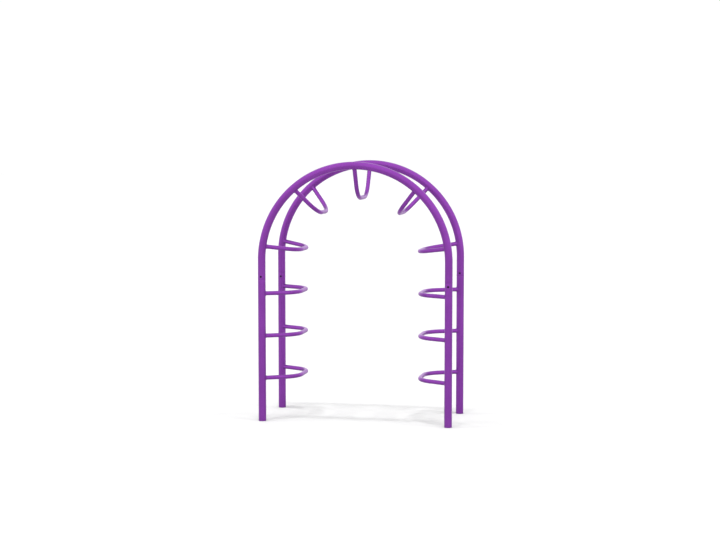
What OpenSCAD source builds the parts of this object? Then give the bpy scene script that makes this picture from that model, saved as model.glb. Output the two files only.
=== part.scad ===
// Arch climber with loop rungs, for a playground.
//
// Two rails of bent steel tube stand side by side, and U-shaped tube loops join
// them as rungs for hands and feet. Each rail is two straight legs and one half
// round arch, spliced over inner sleeves with one through bolt at each splice.
//
// Millimetres, +Z up. The origin is on the ground in the middle of the footprint.
// X runs across the span, left to right, and Y from the front rail to the rear.
// The rear rail is the front rail turned half a turn about Z.

/* [Rails] */
// Span of a rail, from leg centre to leg centre
span = 1480; // [1100:10:1900]
// Distance between the two rails, centre to centre
rail_spacing = 635; // [500:5:800]
// Height at which the straight legs turn into the half round arch
spring_h = 1275; // [1250:5:1600]
// Outside diameter of a rail tube
rail_d = 60.3; // [48:0.1:76]
// Wall of a rail tube
rail_wall = 3; // [2:0.1:5]

/* [Loops] */
// Outside diameter of a loop tube
loop_d = 33.4; // [24:0.1:42]
// Wall of a loop tube
loop_wall = 2.8; // [1.6:0.1:4]
// Distance that a loop reaches in, from rail centre to the middle of its tube
loop_reach = 259; // [200:1:330]
// Radius of the two bends of a loop, along the middle of its tube
loop_bend_r = 194; // [120:1:240]
// How much the bender draws the tube down in a bend, all round
bend_draw = 0.2; // [0.2:0.05:0.5]
// Angle by which each side of a loop leans towards the other
loop_splay = 27.75; // [20:0.25:34]
// Height of the lowest loop
first_loop_h = 341; // [240:1:420]
// Height from one leg loop to the next
loop_pitch = 334.5; // [250:0.5:335]
// Angle from one arch loop to the next
loop_step = 40.83; // [32:0.01:44]
// Size of the weld bead around each loop end
bead = 4.5; // [3:0.1:8]
// Gap left between the coped end of a loop and the rail
cope_gap = 0.15; // [0.1:0.05:0.8]

/* [Splices] */
// Height of the joint between leg and arch
splice_h = 1117; // [1100:1:1180]
// Gap between the tube ends at a joint
seam_gap = 0.8; // [0.2:0.1:2]
// Length of the sleeve inside a joint
sleeve_l = 150; // [100:1:160]
// Wall of the sleeve
sleeve_wall = 3; // [2:0.1:5]
// Clearance all round between the sleeve and the rail tube
sleeve_fit = 0.25; // [0.1:0.05:0.8]
// Distance from a joint to its bolt
bolt_offset = 26; // [18:0.5:40]

/* [Bolts and cap nuts] */
// Diameter of the bolt shank
bolt_d = 9.5; // [8:0.1:12]
// Clearance all round between the shank and its holes
bolt_fit = 0.4; // [0.2:0.05:0.8]
// Diameter of the button head
head_d = 16.6; // [15:0.1:20]
// Height of the button head
head_h = 5; // [3:0.1:7]
// Width across flats of the socket in the head
socket_w = 5.6; // [4:0.1:7]
// Depth of the socket
socket_depth = 3; // [1.5:0.1:4]
// Length of shank that stands inside the cap nut
thread_l = 9.5; // [6:0.1:12]
// Clearance all round between the shank and the nut's bore
thread_fit = 0.1; // [0.05:0.05:0.2]
// Width across flats of the cap nut
nut_w = 14.3; // [14:0.1:19]
// Height of the six-sided part of the cap nut
nut_h = 6.5; // [4:0.1:8]
// Thickness of the nut's round cap over the end of the shank
cap_wall = 2; // [1:0.1:3]

/* [Hidden] */
$fn = 128;
paint = "#8a45a5";
loop_paint = "#8d49a8";
bead_paint = "#84409e";
bare_steel = "#9a9ca0";
black_oxide = "#1c1c1f";

rail_r = rail_d / 2;
arch_r = span / 2;
rail_y = rail_spacing / 2;
loop_r = loop_d / 2;
rail_bore_r = rail_r - rail_wall;
sleeve_r = rail_bore_r - sleeve_fit;
hole_r = bolt_d / 2 + bolt_fit;
eps = 1; // how far a cutting shape runs past the faces that it cuts
lap = 2; // how far a straight stretch of a loop runs into its bend

// A loop in its own plane: U is the way in from the rails, V runs from rail to rail
bend_turn = 90 - loop_splay;
bend_start_u = loop_reach - loop_bend_r * (1 - sin(loop_splay));
bend_start_v = rail_y - bend_start_u * tan(loop_splay);
bend_centre_u = bend_start_u - loop_bend_r * sin(loop_splay);
bend_centre_v = bend_start_v - loop_bend_r * cos(loop_splay);
loop_side_l = bend_start_u / cos(loop_splay);
arch_sag = loop_r * loop_r / (2 * arch_r); // how far the arch curves away across a loop

// Cap nut: a dome that covers the end of the shank
nut_corner_r = nut_w / sqrt(3);
dome_base_r = nut_w / 2;
dome_h = thread_l + cap_wall - nut_h;
dome_r = (dome_base_r * dome_base_r + dome_h * dome_h) / (2 * dome_h);
head_dome_r = (head_d * head_d / 4 + head_h * head_h) / (2 * head_h);

left = -1;
right = 1;
sides = [left, right];
ends = [-1, 1];
leg_loops = 3; // loops on the straight part of each side; the rest are on the arch
side_loops = 5;

function side_name(side) = side == left ? "left" : "right";
function loop_name(side, n) = str(side_name(side), "_loop_", n);

// ---- Rails: each is drawn as the front one, in the plane y = 0

// On the left the bolt goes through the arch, and on the right through the leg
function bolt_h(side) = splice_h - side * bolt_offset;

module bolt_hole(side) {
    translate([side * arch_r, 0, bolt_h(side)])
        rotate([90, 0, 0])
            cylinder(r = hole_r, h = rail_d + 2 * eps, center = true);
}

module tube(r, wall, h) {
    difference() {
        cylinder(r = r, h = h);
        translate([0, 0, -eps]) cylinder(r = r - wall, h = h + 2 * eps);
    }
}

module rail_arch() {
    stub_start = splice_h + seam_gap;
    color(paint) difference() {
        union() {
            translate([0, 0, spring_h])
                rotate([90, 0, 0])
                    rotate_extrude(angle = 180)
                        translate([arch_r, 0]) difference() {
                            circle(r = rail_r);
                            circle(r = rail_bore_r);
                        }
            for (side = sides)
                translate([side * arch_r, 0, stub_start])
                    tube(rail_r, rail_wall, spring_h - stub_start);
        }
        bolt_hole(left);
    }
}

module rail_leg(side) {
    color(paint) difference() {
        translate([side * arch_r, 0, 0]) tube(rail_r, rail_wall, splice_h);
        bolt_hole(right);
    }
}

module rail_sleeve(side) {
    color(bare_steel) difference() {
        translate([side * arch_r, 0, splice_h + seam_gap / 2 - sleeve_l / 2])
            tube(sleeve_r, sleeve_wall, sleeve_l);
        bolt_hole(side);
    }
}

module front_place() {
    translate([0, -rail_y, 0]) children();
}

module rear_place() {
    rotate([0, 0, 180]) front_place() children();
}

// ---- Bolts and cap nuts, drawn along +Z from the face that they sit on

module splice_bolt() {
    difference() {
        union() {
            intersection() {
                translate([0, 0, head_h - head_dome_r]) sphere(r = head_dome_r);
                cylinder(d = head_d, h = head_h);
            }
            translate([0, 0, -rail_d - thread_l]) cylinder(d = bolt_d, h = rail_d + thread_l);
        }
        translate([0, 0, head_h - socket_depth])
            cylinder(r = socket_w / sqrt(3), h = socket_depth + eps, $fn = 6);
    }
}

module cap_nut() {
    difference() {
        union() {
            cylinder(r = nut_corner_r, h = nut_h, $fn = 6);
            translate([0, 0, nut_h]) intersection() {
                translate([0, 0, dome_h - dome_r]) sphere(r = dome_r);
                cylinder(r = dome_base_r, h = dome_h);
            }
        }
        translate([0, 0, -eps]) cylinder(r = bolt_d / 2 + thread_fit, h = thread_l + thread_fit + eps);
    }
}

// Heads are on the outer faces of the rails and nuts on the inner faces
module at_splices(tilt) {
    for (side = sides, turn = [0, 180])
        rotate([0, 0, turn])
            translate([side * arch_r, -rail_y, bolt_h(side)])
                rotate([tilt, 0, 0])
                    translate([0, 0, rail_r])
                        children();
}

// ---- Loops, drawn with U along X, V along Y, and the origin midway between the rails

// A loop is the same above and below its plane, so half a turn about U swaps its ends
module at_end(end) {
    rotate([end < 0 ? 180 : 0, 0, 0]) children();
}

// The straight side of a loop, from the middle of the rear rail to the bend
module loop_side(r) {
    translate([0, rail_y, 0])
        rotate([0, 90, -loop_splay])
            cylinder(r = r, h = loop_side_l + lap);
}

// The rear rail tube as a solid bar, as a loop meets it
module straight_bar(r) {
    translate([0, rail_y, 0]) cylinder(r = r, h = 2 * loop_d, center = true);
}

module arched_bar(r) {
    translate([arch_r, rail_y, 0])
        rotate([90, 0, 0])
            rotate_extrude() translate([arch_r, 0]) circle(r = r);
}

// Straight sides coped to the rails, two bends, and a straight grip between the bends.
// One straight cope fits leg and arch alike, because the arch hardly curves across a loop.
module loop_rung() {
    inner_r = loop_r - loop_wall;
    for (end = ends) at_end(end) {
        difference() {
            loop_side(loop_r);
            loop_side(inner_r);
            straight_bar(rail_r + cope_gap + arch_sag);
        }
        translate([bend_centre_u, bend_centre_v, 0])
            rotate_extrude(angle = bend_turn)
                translate([loop_bend_r, 0]) difference() {
                    circle(r = loop_r - bend_draw);
                    circle(r = inner_r + bend_draw);
                }
    }
    grip_half_l = bend_centre_v + lap;
    translate([loop_reach, grip_half_l, 0])
        rotate([90, 0, 0])
            tube(loop_r, loop_wall, 2 * grip_half_l);
}

// A collar of weld around both ends of a loop
module loop_beads(on_arch) {
    for (end = ends) at_end(end)
        difference() {
            intersection() {
                loop_side(loop_r + bead);
                if (on_arch) arched_bar(rail_r + bead); else straight_bar(rail_r + bead);
            }
            loop_side(loop_r);
            if (on_arch) arched_bar(rail_r); else straight_bar(rail_r);
        }
}

// Tilt is the angle from the crown of the arch, and a leg loop lies level at its height
function loop_on_arch(n) = n > leg_loops;
function loop_tilt(side, n) = side * (loop_on_arch(n) ? (side_loops + 1 - n) * loop_step : 90);
function loop_lift(n) = loop_on_arch(n) ? 0 : first_loop_h + (n - 1) * loop_pitch - spring_h;

module loop_place(tilt, lift) {
    translate([arch_r * sin(tilt), 0, spring_h + lift + arch_r * cos(tilt)])
        rotate([0, 90 + tilt, 0])
            children();
}

module side_place(side, n) {
    loop_place(loop_tilt(side, n), loop_lift(n)) children();
}

module side_loop(side, n) {
    color(loop_paint) side_place(side, n) loop_rung();
}

// ---- One module for each remaining node

module front_arch() { front_place() rail_arch(); }
module front_left_leg() { front_place() rail_leg(left); }
module front_right_leg() { front_place() rail_leg(right); }
module rear_arch() { rear_place() rail_arch(); }
module rear_left_leg() { rear_place() rail_leg(right); }
module rear_right_leg() { rear_place() rail_leg(left); }

module front_left_sleeve() { front_place() rail_sleeve(left); }
module front_right_sleeve() { front_place() rail_sleeve(right); }
module rear_left_sleeve() { rear_place() rail_sleeve(right); }
module rear_right_sleeve() { rear_place() rail_sleeve(left); }

module crown_loop() {
    color(loop_paint) loop_place(0, 0) loop_rung();
}

module weld_beads() {
    color(bead_paint) {
        for (side = sides, n = [1 : side_loops])
            side_place(side, n) loop_beads(loop_on_arch(n));
        loop_place(0, 0) loop_beads(true);
    }
}

module splice_bolts() {
    color(black_oxide) at_splices(90) splice_bolt();
}

module cap_nuts() {
    color(black_oxide) at_splices(-90) cap_nut();
}

front_arch();
front_left_leg();
front_right_leg();
rear_arch();
rear_left_leg();
rear_right_leg();
front_left_sleeve();
front_right_sleeve();
rear_left_sleeve();
rear_right_sleeve();
for (side = sides, n = [1 : side_loops])
    side_loop(side, n);
crown_loop();
weld_beads();
splice_bolts();
cap_nuts();
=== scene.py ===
from math import cos, pi, radians, sin, sqrt, tan

import bmesh
import bpy
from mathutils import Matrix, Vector, noise


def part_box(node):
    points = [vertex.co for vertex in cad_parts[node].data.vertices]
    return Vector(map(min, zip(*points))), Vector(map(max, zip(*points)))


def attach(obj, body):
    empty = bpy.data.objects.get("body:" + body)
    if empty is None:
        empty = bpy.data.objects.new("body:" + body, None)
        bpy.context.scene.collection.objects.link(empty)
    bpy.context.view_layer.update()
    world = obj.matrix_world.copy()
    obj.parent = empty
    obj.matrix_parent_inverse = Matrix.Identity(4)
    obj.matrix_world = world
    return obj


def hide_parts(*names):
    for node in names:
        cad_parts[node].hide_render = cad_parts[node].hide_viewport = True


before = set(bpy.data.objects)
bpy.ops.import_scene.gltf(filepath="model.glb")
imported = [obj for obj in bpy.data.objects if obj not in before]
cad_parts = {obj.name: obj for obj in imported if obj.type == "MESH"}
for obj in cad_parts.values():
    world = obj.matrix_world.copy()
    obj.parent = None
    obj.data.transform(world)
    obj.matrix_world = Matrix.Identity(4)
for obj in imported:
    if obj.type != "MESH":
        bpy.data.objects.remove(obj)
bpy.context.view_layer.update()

mm = 0.001
turn = 2 * pi

# Where things are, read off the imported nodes
legLow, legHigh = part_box("front_left_leg")
archLow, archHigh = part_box("front_arch")
railR = (legHigh.x - legLow.x) / 2
railX = -(legLow.x + legHigh.x) / 2  # leg centre, out from the middle
railY = -(legLow.y + legHigh.y) / 2  # rail centre, front and rear alike
spliceZ = legHigh.z
archEndZ = archLow.z
springZ = archHigh.z - railX - railR  # height where the half circle starts


# Meshes

# Joins rings of the same number of points. closed runs the last ring back into the
# first, as on a tube with a bore; otherwise each end is capped.
def skinRings(rings, closed):
    count = len(rings[0])
    verts = [p for ring in rings for p in ring]
    faces = []
    for i in range(len(rings) if closed else len(rings) - 1):
        a = i * count
        b = (i + 1) % len(rings) * count
        for k in range(count):
            n = (k + 1) % count
            faces.append((a + k, a + n, b + n, b + k))
    if not closed:
        faces.append(tuple(range(count))[::-1])
        faces.append(tuple(range((len(rings) - 1) * count, len(rings) * count)))
    return verts, faces


# One object out of several closed skins, smooth apart from edges over sharpAngle degrees
def makePiece(name, skins, material, sharpAngle=35):
    verts, faces = [], []
    for skinVerts, skinFaces in skins:
        start = len(verts)
        verts += skinVerts
        faces += [tuple(i + start for i in f) for f in skinFaces]
    mesh = bpy.data.meshes.new(name)
    mesh.from_pydata([tuple(v) for v in verts], [], faces)
    tidy = bmesh.new()
    tidy.from_mesh(mesh)
    bmesh.ops.recalc_face_normals(tidy, faces=tidy.faces)
    tidy.to_mesh(mesh)
    tidy.free()
    for face in mesh.polygons:
        face.use_smooth = True
    mesh.set_sharp_from_angle(angle=radians(sharpAngle))
    mesh.materials.append(material)
    piece = bpy.data.objects.new(name, mesh)
    bpy.context.scene.collection.objects.link(piece)
    return piece


def ringPoints(centre, along, across, r, count):
    return [centre + along * (r * cos(turn * k / count)) + across * (r * sin(turn * k / count))
            for k in range(count)]


# Node helpers

def newMaterial(name):
    material = bpy.data.materials.new(name)
    material.use_nodes = True
    nodes, links = material.node_tree.nodes, material.node_tree.links
    shader = nodes["Principled BSDF"]
    place = nodes.new("ShaderNodeTexCoord").outputs["Object"]
    return material, nodes, links, shader, place


def noiseNode(nodes, links, place, scale, detail, rough=0.5):
    node = nodes.new("ShaderNodeTexNoise")
    node.inputs["Scale"].default_value = scale
    node.inputs["Detail"].default_value = detail
    node.inputs["Roughness"].default_value = rough
    links.new(place, node.inputs["Vector"])
    return node


def rampNode(nodes, links, value, low, high, lowColour, highColour):
    node = nodes.new("ShaderNodeValToRGB")
    node.color_ramp.elements[0].position = low
    node.color_ramp.elements[1].position = high
    node.color_ramp.elements[0].color = (*lowColour, 1)
    node.color_ramp.elements[1].color = (*highColour, 1)
    links.new(value, node.inputs["Fac"])
    return node


# Spreads the middle of a noise, where nearly all of it lies, over low to high
def rangeNode(nodes, links, value, low, high):
    node = nodes.new("ShaderNodeMapRange")
    node.inputs["From Min"].default_value = 0.3
    node.inputs["From Max"].default_value = 0.7
    node.inputs["To Min"].default_value = low
    node.inputs["To Max"].default_value = high
    links.new(value, node.inputs["Value"])
    return node


def bumpNode(nodes, links, height, strength, distance, under=None):
    node = nodes.new("ShaderNodeBump")
    node.inputs["Strength"].default_value = strength
    node.inputs["Distance"].default_value = distance
    links.new(height, node.inputs["Height"])
    if under:
        links.new(under, node.inputs["Normal"])
    return node


def shade(colour, k):
    return tuple(c * k for c in colour)


# Metallic purple powder coat: fine flake, orange peel from the cure, and a slow drift
# in the depth of the coat
powder = {
    "colour": (0.200, 0.0445, 0.300),
    "driftScale": 5.0,       # scales are in features to the metre
    "drift": 0.05,           # how far the coat's depth drifts over a length of tube
    "flakeScale": 1500.0,
    "flake": 0.11,           # how much lighter or darker a flake is
    "peelScale": 420.0,
    "peel": 0.16,
    "peelDepth": 0.25 * mm,
    "gritScale": 2100.0,
    "grit": 0.05,
    "gritDepth": 0.1 * mm,
    "wearScale": 60.0,
    "roughLow": 0.31,
    "roughHigh": 0.40,
}


def powderCoat(name, tint, peelMore=1.0):
    material, nodes, links, shader, place = newMaterial(name)
    base = shade(powder["colour"], tint)
    drift = noiseNode(nodes, links, place, powder["driftScale"], detail=3.0)
    body = rampNode(nodes, links, drift.outputs["Fac"], 0.35, 0.65,
                    shade(base, 1 - powder["drift"]), shade(base, 1 + powder["drift"]))
    flakes = nodes.new("ShaderNodeTexVoronoi")
    flakes.inputs["Scale"].default_value = powder["flakeScale"]
    links.new(place, flakes.inputs["Vector"])
    glint = rangeNode(nodes, links, flakes.outputs["Color"], 1 - powder["flake"], 1 + powder["flake"])
    sparkle = nodes.new("ShaderNodeVectorMath")
    sparkle.operation = "SCALE"
    links.new(body.outputs["Color"], sparkle.inputs["Vector"])
    links.new(glint.outputs["Result"], sparkle.inputs["Scale"])
    links.new(sparkle.outputs["Vector"], shader.inputs["Base Color"])
    wear = noiseNode(nodes, links, place, powder["wearScale"], detail=6.0, rough=0.6)
    gloss = rangeNode(nodes, links, wear.outputs["Fac"], powder["roughLow"], powder["roughHigh"])
    links.new(gloss.outputs["Result"], shader.inputs["Roughness"])
    peel = noiseNode(nodes, links, place, powder["peelScale"], detail=1.5, rough=0.4)
    grit = noiseNode(nodes, links, place, powder["gritScale"], detail=2.0)
    peelBump = bumpNode(nodes, links, peel.outputs["Fac"], powder["peel"] * peelMore,
                        powder["peelDepth"])
    gritBump = bumpNode(nodes, links, grit.outputs["Fac"], powder["grit"], powder["gritDepth"],
                        peelBump.outputs["Normal"])
    links.new(gritBump.outputs["Normal"], shader.inputs["Normal"])
    shader.inputs["Metallic"].default_value = 1.0
    return material


# Black-oxide steel for the bolts and nuts, a little patchy from the oil
oxide = {
    "colour": (0.008, 0.007, 0.009),
    "mottleScale": 300.0,
    "dark": 0.6,
    "light": 1.3,
    "smearScale": 900.0,
    "grainScale": 4000.0,
    "grain": 0.15,
    "grainDepth": 0.05 * mm,
}


def oxideSteel(name, roughLow, roughHigh):
    material, nodes, links, shader, place = newMaterial(name)
    mottle = noiseNode(nodes, links, place, oxide["mottleScale"], detail=4.0)
    tone = rampNode(nodes, links, mottle.outputs["Fac"], 0.3, 0.7,
                    shade(oxide["colour"], oxide["dark"]), shade(oxide["colour"], oxide["light"]))
    links.new(tone.outputs["Color"], shader.inputs["Base Color"])
    smear = noiseNode(nodes, links, place, oxide["smearScale"], detail=5.0, rough=0.7)
    gloss = rangeNode(nodes, links, smear.outputs["Fac"], roughLow, roughHigh)
    links.new(gloss.outputs["Result"], shader.inputs["Roughness"])
    grain = noiseNode(nodes, links, place, oxide["grainScale"], detail=2.0)
    bump = bumpNode(nodes, links, grain.outputs["Fac"], oxide["grain"], oxide["grainDepth"])
    links.new(bump.outputs["Normal"], shader.inputs["Normal"])
    shader.inputs["Metallic"].default_value = 1.0
    return material


# Hot-dip galvanising with its crystal pattern, for the sleeves that show in the splice gaps. Both tones
# are held far darker than bright galvanised steel, as painted shade of the narrow gaps.
gapShadedZinc = {
    "crystalScale": 140.0,
    # dark and light: galvanised grey darkened into painted shade of the splice gaps
    "dark": (0.13, 0.13, 0.14),
    "light": (0.22, 0.22, 0.23),
    "roughLow": 0.5,
    "roughHigh": 0.65,
}


def spangledZincGapShade(name):
    material, nodes, links, shader, place = newMaterial(name)
    crystals = nodes.new("ShaderNodeTexVoronoi")
    crystals.inputs["Scale"].default_value = gapShadedZinc["crystalScale"]
    links.new(place, crystals.inputs["Vector"])
    tone = rampNode(nodes, links, crystals.outputs["Color"], 0.2, 0.8, gapShadedZinc["dark"], gapShadedZinc["light"])
    links.new(tone.outputs["Color"], shader.inputs["Base Color"])
    gloss = rangeNode(nodes, links, crystals.outputs["Distance"], gapShadedZinc["roughLow"], gapShadedZinc["roughHigh"])
    links.new(gloss.outputs["Result"], shader.inputs["Roughness"])
    shader.inputs["Metallic"].default_value = 1.0
    return material


railPurple = powderCoat("railPurple", tint=1.0)
loopPurple = powderCoat("loopPurple", tint=1.03)
weldPurple = powderCoat("weldPurple", tint=0.96, peelMore=1.8)
boltSteel = oxideSteel("boltSteel", roughLow=0.24, roughHigh=0.40)
nutSteel = oxideSteel("nutSteel", roughLow=0.22, roughHigh=0.36)
sleeveZincGapShade = spangledZincGapShade("sleeveZincGapShade")
print("materials made")


# Rails

rail = {
    "wall": 3.0 * mm,
    "edge": 0.25 * mm,           # how far a cut end is rounded
    "edgeTurns": (0, 30, 60),    # degrees around that rounding, short of the wall itself
    "nearEnd": 0.02,             # first ring in from a cut end
    "legRings": [0.3, 0.6, 0.9],
    "around": 96,                # points around the tube
    "archSteps": 150,
}


# A hollow tube along a list of (centre, in-plane normal) stations, with rounded cut ends
def hollowTube(stations, across):
    r, wall, edge, around = railR, rail["wall"], rail["edge"], rail["around"]
    outer, inner = [], []
    last = len(stations) - 1
    endRings = len(rail["edgeTurns"]) + 1
    for i, (centre, along) in enumerate(stations):
        if i in (0, last):
            way = (stations[1][0] - centre if i == 0 else stations[last - 1][0] - centre).normalized()
            for step in rail["edgeTurns"]:
                back = edge * (1 - sin(radians(step)))
                drop = edge * (1 - cos(radians(step)))
                outer.append((centre + way * drop, along, r - back))
                inner.append((centre + way * drop, along, r - wall + back))
            outer.append((centre + way * edge, along, r))
            inner.append((centre + way * edge, along, r - wall))
            if i == last:
                outer[-endRings:] = outer[-endRings:][::-1]
                inner[-endRings:] = inner[-endRings:][::-1]
        else:
            outer.append((centre, along, r))
            inner.append((centre, along, r - wall))
    rings = [ringPoints(c, a, across, radius, around) for c, a, radius in outer]
    rings += [ringPoints(c, a, across, radius, around) for c, a, radius in inner[::-1]]
    return skinRings(rings, True)


def makeLeg(name, node, side, y):
    heights = [0, rail["nearEnd"], *rail["legRings"], spliceZ - rail["nearEnd"], spliceZ]
    stations = [(Vector((side * railX, y, z)), Vector((1, 0, 0))) for z in heights]
    skin = hollowTube(stations, Vector((0, 1, 0)))
    return finishPiece(makePiece(name, [skin], railPurple), node)


def makeArch(name, node, y):
    stubs = [archEndZ, archEndZ + rail["nearEnd"], (archEndZ + springZ) / 2]
    stations = [(Vector((-railX, y, z)), Vector((-1, 0, 0))) for z in stubs]
    for i in range(rail["archSteps"] + 1):
        a = pi - pi * i / rail["archSteps"]
        out = Vector((cos(a), 0, sin(a)))
        stations.append((Vector((0, y, springZ)) + out * railX, out))
    stations += [(Vector((railX, y, z)), Vector((1, 0, 0))) for z in stubs[::-1]]
    skin = hollowTube(stations, Vector((0, 1, 0)))
    return finishPiece(makePiece(name, [skin], railPurple), node)


def finishPiece(piece, node):
    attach(piece, "root")
    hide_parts(node)
    return piece


for depth, y in (("front", -railY), ("rear", railY)):
    makeArch(depth + "ArchTube", depth + "_arch", y)
    for hand, side in (("left", -1), ("right", 1)):
        makeLeg(depth + hand.capitalize() + "LegTube", depth + "_" + hand + "_leg", side, y)
print("rails made")


# Loops: U is the way in from the rails, V runs from rail to rail and W across the loop

loop = {
    "r": 16.7 * mm,
    "wall": 2.8 * mm,
    "reach": 259 * mm,
    "bendR": 194 * mm,
    "splay": radians(27.75),
    "copeGap": 0.15 * mm,
    "around": 64,
    "bendSteps": 40,
    "firstRing": 40 * mm,    # along a straight side, past the cope
    "lastRing": 0.6,         # share of a straight side at which its last ring stands
    "sideCount": 5,
    "heights": [341 * mm, 675.5 * mm, 1010 * mm],  # of the level loops, on the legs
    "step": radians(40.83),                        # from one arch loop to the next
}
splay, bendR, loopR = loop["splay"], loop["bendR"], loop["r"]
bendStartU = loop["reach"] - bendR * (1 - sin(splay))
bendU = bendStartU - bendR * sin(splay)
bendV = railY - bendStartU * tan(splay) - bendR * cos(splay)
sideLength = bendStartU / cos(splay)

# One row to a loop: stem of its name, node, lean from the crown, lift over the place on the
# arch that the lean points to, and whether it is on the arch
places = []
for hand, side in (("left", -1), ("right", 1)):
    for n in range(1, loop["sideCount"] + 1):
        level = n <= len(loop["heights"])
        lean = side * (pi / 2 if level else (loop["sideCount"] + 1 - n) * loop["step"])
        lift = loop["heights"][n - 1] - springZ if level else 0
        places.append((hand + "Loop" + str(n), hand + "_loop_" + str(n), lean, lift, not level))
places.append(("crownLoop", "crown_loop", 0.0, 0.0, True))


# Turns a point in a loop's U, V, W into the frame
def loopFrame(lean, lift):
    a = pi / 2 + lean
    origin = Vector((railX * sin(lean), 0, springZ + lift + railX * cos(lean)))
    u, v, w = Vector((cos(a), 0, -sin(a))), Vector((0, 1, 0)), Vector((sin(a), 0, cos(a)))
    return lambda p: origin + u * p[0] + v * p[1] + w * p[2]


# Distance from the rear rail's surface, in a loop's U, V, W
def railGap(p, onArch):
    out = p[0] if not onArch else sqrt((p[0] - railX) ** 2 + p[2] ** 2) - railX
    return sqrt(out * out + (p[1] - railY) ** 2) - railR


# Point on the rear straight side, t along its middle and at angle a around it
def sidePoint(t, a, r):
    return (t * cos(splay) + r * cos(a) * sin(splay),
            railY - t * sin(splay) + r * cos(a) * cos(splay),
            r * sin(a))


# How far along the side the line at angle a comes out of the rail and a gap around it.
# The first t is for a straight rail, and each round brings it nearer for a bent one.
def copeLength(a, r, gap, onArch):
    t = sqrt((railR + gap) ** 2 - (r * cos(a)) ** 2)
    for _ in range(4):
        t -= railGap(sidePoint(t, a, r), onArch) - gap
    return t


def loopRings(r, onArch):
    around = loop["around"]
    angles = [turn * k / around for k in range(around)]
    rings = []
    rings.append([sidePoint(copeLength(a, r, loop["copeGap"], onArch), a, r) for a in angles])
    for t in (loop["firstRing"], sideLength * loop["lastRing"]):
        rings.append([sidePoint(t, a, r) for a in angles])
    centres = []
    for i in range(loop["bendSteps"] + 1):
        b = (pi / 2 - splay) * (1 - i / loop["bendSteps"])
        centres.append((bendU + bendR * cos(b), bendV + bendR * sin(b), b))
    for u, v, b in centres:
        rings.append([(u + r * cos(a) * cos(b), v + r * cos(a) * sin(b), r * sin(a)) for a in angles])
    rings += [[(p[0], -p[1], p[2]) for p in ring] for ring in rings[::-1]]
    return rings


def makeLoop(name, node, lean, lift, onArch):
    toFrame = loopFrame(lean, lift)
    rings = loopRings(loopR, onArch) + loopRings(loopR - loop["wall"], onArch)[::-1]
    skin = skinRings([[toFrame(p) for p in ring] for ring in rings], True)
    return finishPiece(makePiece(name + "Tube", [skin], loopPurple), node)


for place in places:
    makeLoop(*place)
print("loops made")


# Weld beads: a fillet around each loop end, laid down in overlapping ripples

weld = {
    "leg": 4.3 * mm,         # how far the fillet reaches up the loop and out on the rail
    "crown": 0.75 * mm,      # bulge of its face
    "sink": 0.6 * mm,        # how far its root is set into the two tubes
    "standOff": 0.05 * mm,   # how far the edges of the face lie off the tubes
    "rootShare": 0.6,        # share of the leg at which the hidden back turns to the root
    "ripplePitch": 3.1 * mm,
    "pitchLine": 2 * mm,     # where the pitch is measured, out from the loop tube
    "ripple": 0.42 * mm,
    "rippleTrail": 1.5,      # turn by which a ripple's ends trail its middle
    "rippleSharp": 0.6,
    "rippleMean": 0.6,
    "rippleEdge": 0.25,      # share of the ripple that is left at the edges of the face
    "wander": 0.35 * mm,     # unevenness of a hand-laid bead
    "wanderScale": 3,
    "wanderStep": 7.3,       # from one bead to the next, so that no two are alike
    "probe": 0.05 * mm,      # half step for the slope of the gap to the rail
    "around": 340,
    "across": 9,
    "seed": 41,
}


def beadRings(toFrame, onArch, flip, number):
    count, steps = weld["around"], weld["across"]
    ripples = round(turn * (loopR + weld["pitchLine"]) / weld["ripplePitch"])
    probe, off = weld["probe"], weld["standOff"]
    start = noise.random_vector()[0] * pi
    rings = []
    for k in range(count):
        a = turn * k / count
        corner = Vector(sidePoint(copeLength(a, loopR, 0, onArch), a, loopR))
        # Way up the loop, and way out along the rail, both leaving the corner
        up = Vector((cos(splay), -sin(splay), 0))
        outOfLoop = Vector((cos(a) * sin(splay), cos(a) * cos(splay), sin(a)))
        grow = Vector([(railGap(corner + d * probe, onArch) - railGap(corner - d * probe, onArch))
                       / (2 * probe)
                       for d in (Vector((1, 0, 0)), Vector((0, 1, 0)), Vector((0, 0, 1)))]).normalized()
        along = (outOfLoop - grow * outOfLoop.dot(grow)).normalized()
        drift = noise.noise(Vector((weld["wanderScale"] * cos(a), weld["wanderScale"] * sin(a),
                                    number * weld["wanderStep"])))
        reach = weld["leg"] + weld["wander"] * drift
        face = []
        for s in range(steps):
            f = s / (steps - 1)
            top = corner + up * reach + outOfLoop * off
            turned = along.dot(Vector((grow.y, -grow.x, 0)).normalized())  # 1 straight around the rail
            toe = corner + along * reach + grow * (-reach * reach / (2 * railR) * abs(turned) ** 2 + off)
            point = top.lerp(toe, f)
            bulge = 4 * f * (1 - f)
            phase = ripples * (a + start) + weld["rippleTrail"] * (2 * f - 1) ** 2
            wave = (0.5 + 0.5 * cos(phase)) ** weld["rippleSharp"] - weld["rippleMean"]
            fade = weld["rippleEdge"] + (1 - weld["rippleEdge"]) * bulge
            lift = weld["crown"] * bulge + weld["ripple"] * wave * fade
            face.append(point + (grow + outOfLoop).normalized() * lift)
        root = corner - (grow + outOfLoop).normalized() * weld["sink"]
        share = weld["rootShare"]
        face.append((corner + along * reach * share).lerp(root, 0.5) - grow * weld["sink"])
        face.append(root)
        face.append((corner + up * reach * share).lerp(root, 0.5) - outOfLoop * weld["sink"])
        if flip:
            face = [Vector((p.x, -p.y, p.z)) for p in face]
        rings.append([toFrame(p) for p in face])
    return rings


noise.seed_set(weld["seed"])
beadSkins = []
for number, (name, node, lean, lift, onArch) in enumerate(places):
    toFrame = loopFrame(lean, lift)
    for flip in (False, True):
        beadSkins.append(skinRings(beadRings(toFrame, onArch, flip, 2 * number + flip), True))
finishPiece(makePiece("weldBeads", beadSkins, weldPurple, sharpAngle=60), "weld_beads")
print("weld beads made")


# Splice bolts and cap nuts

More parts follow.
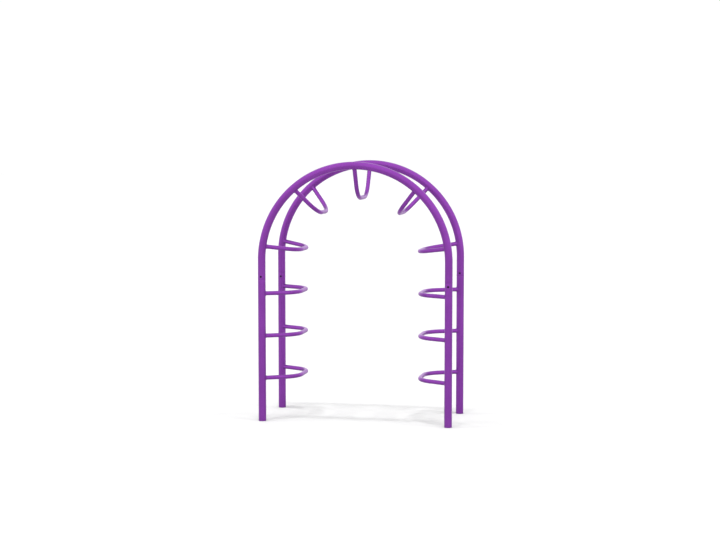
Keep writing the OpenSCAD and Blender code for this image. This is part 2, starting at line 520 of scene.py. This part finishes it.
bolt = {
    "offset": 26 * mm,       # from the splice to the bolt
    "shankR": 4.75 * mm,
    "headR": 8.3 * mm,
    "headH": 5.0 * mm,
    "socketApothem": 2.8 * mm,
    "socketDepth": 3.0 * mm,
    # rim of the head, as (height, step in from the full radius)
    "rim": [(0, 0.4 * mm), (0.15 * mm, 0.1 * mm), (0.4 * mm, 0.06 * mm)],
    "domeShort": 0.62 * mm,  # rim height plus how far the dome stops below the top
    "domeSteps": 14,
    "lipDrop": 0.2 * mm,     # from the top of the head to the lip of the socket
    "lipBevel": 0.35 * mm,
    "bevelH": 0.3 * mm,
    "drillDepth": 0.5 * mm,  # cone at the bottom of the socket
    "drillShare": 0.15,
    "around": 96,
}
nut = {
    "apothem": 7.15 * mm,
    "hexH": 6.5 * mm,
    "tallH": 11.5 * mm,
    "footBevel": 0.9 * mm,   # corners cut back at the face that sits on the rail
    "footH": 0.5 * mm,
    "topBevel": 0.95 * mm,   # and at the top of the flats
    "topH": 1.1 * mm,
    "topCurve": 1.3,
    "topSteps": 7,
    "neckStep": 0.55 * mm,
    "neckH": 0.15 * mm,
    "neckFlare": 0.1 * mm,
    "domeSteps": 16,
    "around": 96,
}


def hexRadius(a, apothem):
    return apothem / cos((a % (pi / 3)) - pi / 6)


# A turned part. Each row of its profile is a height and a function that gives the radius
# at an angle around it.
def turnedSkin(profile, around, origin, axis):
    side = Vector((0, 0, 1))
    up = axis.cross(side)
    rings = []
    for z, radiusAt in profile:
        rings.append([origin + axis * z + side * (radiusAt(turn * k / around) * cos(turn * k / around))
                      + up * (radiusAt(turn * k / around) * sin(turn * k / around))
                      for k in range(around)])
    return skinRings(rings, False)


def boltProfile():
    h, r = bolt["headH"], bolt["headR"]
    domeR = (r * r + h * h) / (2 * h)
    rows = [(-2 * railR, bolt["shankR"]), (0, bolt["shankR"])]
    rows += [(z, r - step) for z, step in bolt["rim"]]
    for i in range(1, bolt["domeSteps"] + 1):  # the dome, up to the rim of the socket
        z = bolt["rim"][-1][0] + (h - bolt["domeShort"]) * i / bolt["domeSteps"]
        rows.append((z, sqrt(max(domeR ** 2 - (z - h + domeR) ** 2, 0))))
    profile = [(z, lambda a, q=q: q) for z, q in rows]
    lip, floor = h - bolt["lipDrop"], h - bolt["socketDepth"]
    socket = lambda a: hexRadius(a, bolt["socketApothem"])
    profile += [(lip, lambda a: socket(a) + bolt["lipBevel"]),
                (lip - bolt["bevelH"], socket),
                (floor, socket),
                (floor - bolt["drillDepth"], lambda a: socket(a) * bolt["drillShare"])]
    return profile


def nutProfile():
    corner = nut["apothem"] / cos(pi / 6)
    profile = []
    for z, cone in ((0, corner - nut["footBevel"]), (nut["footH"], corner)):
        profile.append((z, lambda a, q=cone: min(hexRadius(a, nut["apothem"]), q)))
    for i in range(nut["topSteps"] + 1):  # corners cut back to a cone at the top of the flats
        z = nut["hexH"] - nut["topH"] + nut["topH"] * i / nut["topSteps"]
        cone = corner - nut["topBevel"] * (i / nut["topSteps"]) ** nut["topCurve"]
        profile.append((z, lambda a, q=cone: min(hexRadius(a, nut["apothem"]), q)))
    neck = nut["apothem"] - nut["neckStep"]
    profile.append((nut["hexH"] + nut["neckH"], lambda a: neck + nut["neckFlare"]))
    rise = nut["tallH"] - nut["hexH"] - nut["neckH"]
    for i in range(1, nut["domeSteps"]):
        b = (pi / 2) * i / nut["domeSteps"]
        profile.append((nut["hexH"] + nut["neckH"] + rise * sin(b), lambda a, q=neck * cos(b): q))
    return profile


boltSkins, nutSkins = [], []
for side in (-1, 1):
    for half in (1, -1):  # half a turn about Z takes the front rail's bolts to the rear rail
        x, y = half * side * railX, -half * railY
        z = spliceZ - side * bolt["offset"]
        outward = Vector((0, -half, 0))
        centre = Vector((x, y, z))
        boltSkins.append(turnedSkin(boltProfile(), bolt["around"], centre + outward * railR, outward))
        nutSkins.append(turnedSkin(nutProfile(), nut["around"], centre - outward * railR, -outward))
finishPiece(makePiece("spliceBolts", boltSkins, boltSteel, sharpAngle=30), "splice_bolts")
finishPiece(makePiece("capNuts", nutSkins, nutSteel, sharpAngle=30), "cap_nuts")

# The sleeves take the darkened galvanised finish, which is painted shade where they show in the splice
# gaps
for hand in ("left", "right"):
    for depth in ("front", "rear"):
        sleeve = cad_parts[depth + "_" + hand + "_sleeve"]
        sleeve.data.materials.clear()
        sleeve.data.materials.append(sleeveZincGapShade)
print("bolts, nuts and sleeves made")


# Studio

studio = {
    "floorShade": (0.365, 0.365, 0.365),
    "floorRough": 0.9,
    "floorSize": 120.0,
    "backdrop": 1.02,            # brightness of the white behind the climber
    "horizon": 1.5,              # brightness of the soft light around and above it
    "zenith": 1.7,
    "lampAngle": 4,              # degrees, as are the two below
    "lampForward": 7,            # tilt of the row of lamps towards the front
    "lamps": [(-60, 0.35), (-40, 0.4), (-20, 0.5), (-4, 1.1),  # lean to the side, strength
              (4, 1.1), (20, 0.5), (40, 0.4), (60, 0.35)],
    "cameraPlace": (2.5603, -12.6228, 2.3057),
    "cameraAim": (-0.0185, 0, 1.1797),
    "lens": 81.42,
    "sensor": 36,
}


def makeFloor():
    half = studio["floorSize"] / 2
    mesh = bpy.data.meshes.new("studioFloor")
    mesh.from_pydata([(-half, -half, 0), (half, -half, 0), (half, half, 0), (-half, half, 0)], [],
                     [(0, 1, 2, 3)])
    floor = bpy.data.objects.new("studioFloor", mesh)
    bpy.context.scene.collection.objects.link(floor)
    material, nodes, links, shader, place = newMaterial("paleFloor")
    shader.inputs["Base Color"].default_value = (*studio["floorShade"], 1)
    shader.inputs["Roughness"].default_value = studio["floorRough"]
    mesh.materials.append(material)


# White all round, brighter for the light that it gives than where the camera sees it
def makeSky():
    world = bpy.data.worlds.new("softSky")
    world.use_nodes = True
    nodes, links = world.node_tree.nodes, world.node_tree.links
    way = nodes.new("ShaderNodeTexCoord")
    parts = nodes.new("ShaderNodeSeparateXYZ")
    links.new(way.outputs["Generated"], parts.inputs["Vector"])
    glow = nodes.new("ShaderNodeMapRange")
    glow.inputs["From Min"].default_value = 0.0
    glow.inputs["From Max"].default_value = 1.0
    glow.inputs["To Min"].default_value = studio["horizon"]
    glow.inputs["To Max"].default_value = studio["zenith"]
    links.new(parts.outputs["Z"], glow.inputs["Value"])
    seen = nodes.new("ShaderNodeLightPath")
    level = nodes.new("ShaderNodeMix")
    level.inputs["B"].default_value = studio["backdrop"]
    links.new(seen.outputs["Is Camera Ray"], level.inputs["Factor"])
    links.new(glow.outputs["Result"], level.inputs["A"])
    links.new(level.outputs["Result"], nodes["Background"].inputs["Strength"])
    nodes["Background"].inputs["Color"].default_value = (1, 1, 1, 1)
    bpy.context.scene.world = world


# A row of soft lamps overhead, from side to side. They leave no hot spots on the paint.
def makeLamps():
    for n, (lean, strength) in enumerate(studio["lamps"]):
        light = bpy.data.lights.new("lamp" + str(n), "SUN")
        light.energy = strength
        light.angle = radians(studio["lampAngle"])
        lamp = bpy.data.objects.new("lamp" + str(n), light)
        lamp.rotation_euler = (radians(studio["lampForward"]), radians(lean), 0)
        lamp.visible_glossy = False
        bpy.context.scene.collection.objects.link(lamp)


def makeCamera():
    lens = bpy.data.cameras.new("camera")
    lens.lens = studio["lens"]
    lens.sensor_width = studio["sensor"]
    camera = bpy.data.objects.new("camera", lens)
    camera.location = studio["cameraPlace"]
    aim = Vector(studio["cameraAim"]) - camera.location
    camera.rotation_euler = aim.to_track_quat("-Z", "Y").to_euler()
    bpy.context.scene.collection.objects.link(camera)
    bpy.context.scene.camera = camera


makeFloor()
makeSky()
makeLamps()
makeCamera()
bpy.context.scene.view_settings.view_transform = "Standard"
print("studio made")
